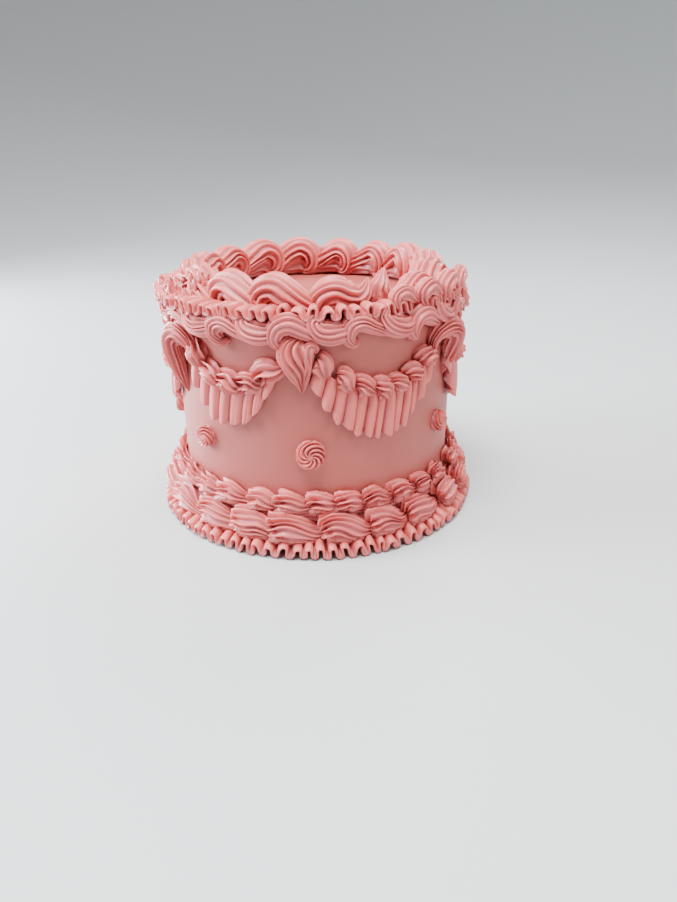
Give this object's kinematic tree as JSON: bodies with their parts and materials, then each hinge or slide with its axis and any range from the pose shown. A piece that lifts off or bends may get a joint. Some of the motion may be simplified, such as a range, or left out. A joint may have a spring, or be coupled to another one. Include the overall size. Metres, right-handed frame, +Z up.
{
  "type": "lambeth cake",
  "caption": "Round buttercream cake over-piped in pink with ruffle and shell borders, scrolls, swags with frills, ridged drops and swirled rosettes.",
  "frame": {"origin": "centre of the cake's underside, on the surface it rests on", "axes": "+Z up through the cake, -Y towards the front that the picture shows, +X to the right as seen from there"},
  "size_m": [0.1856, 0.1853, 0.1397],
  "materials": {
    "smooth_icing": "matt",
    "piped_icing": "satin"
  },
  "bodies": {
    "root": {"cake": "smooth_icing", "base_frill": "piped_icing", "base_shells": "piped_icing", "collar_shells": "piped_icing", "scroll_border": "piped_icing", "top_frill": "piped_icing", "top_shells": "piped_icing", "swag_shells_1": "piped_icing", "swag_shells_2": "piped_icing", "swag_shells_3": "piped_icing", "swag_shells_4": "piped_icing", "swag_shells_5": "piped_icing", "swag_shells_6": "piped_icing", "swag_shells_7": "piped_icing", "swag_shells_8": "piped_icing", "swag_frill_1": "piped_icing", "swag_frill_2": "piped_icing", "swag_frill_3": "piped_icing", "swag_frill_4": "piped_icing", "swag_frill_5": "piped_icing", "swag_frill_6": "piped_icing", "swag_frill_7": "piped_icing", "swag_frill_8": "piped_icing", "drop_1": "piped_icing", "drop_2": "piped_icing", "drop_3": "piped_icing", "drop_4": "piped_icing", "drop_5": "piped_icing", "drop_6": "piped_icing", "drop_7": "piped_icing", "drop_8": "piped_icing", "rosette_1": "piped_icing", "rosette_2": "piped_icing", "rosette_3": "piped_icing", "rosette_4": "piped_icing", "rosette_5": "piped_icing", "rosette_6": "piped_icing", "rosette_7": "piped_icing", "rosette_8": "piped_icing"}
  },
  "joints": []
}
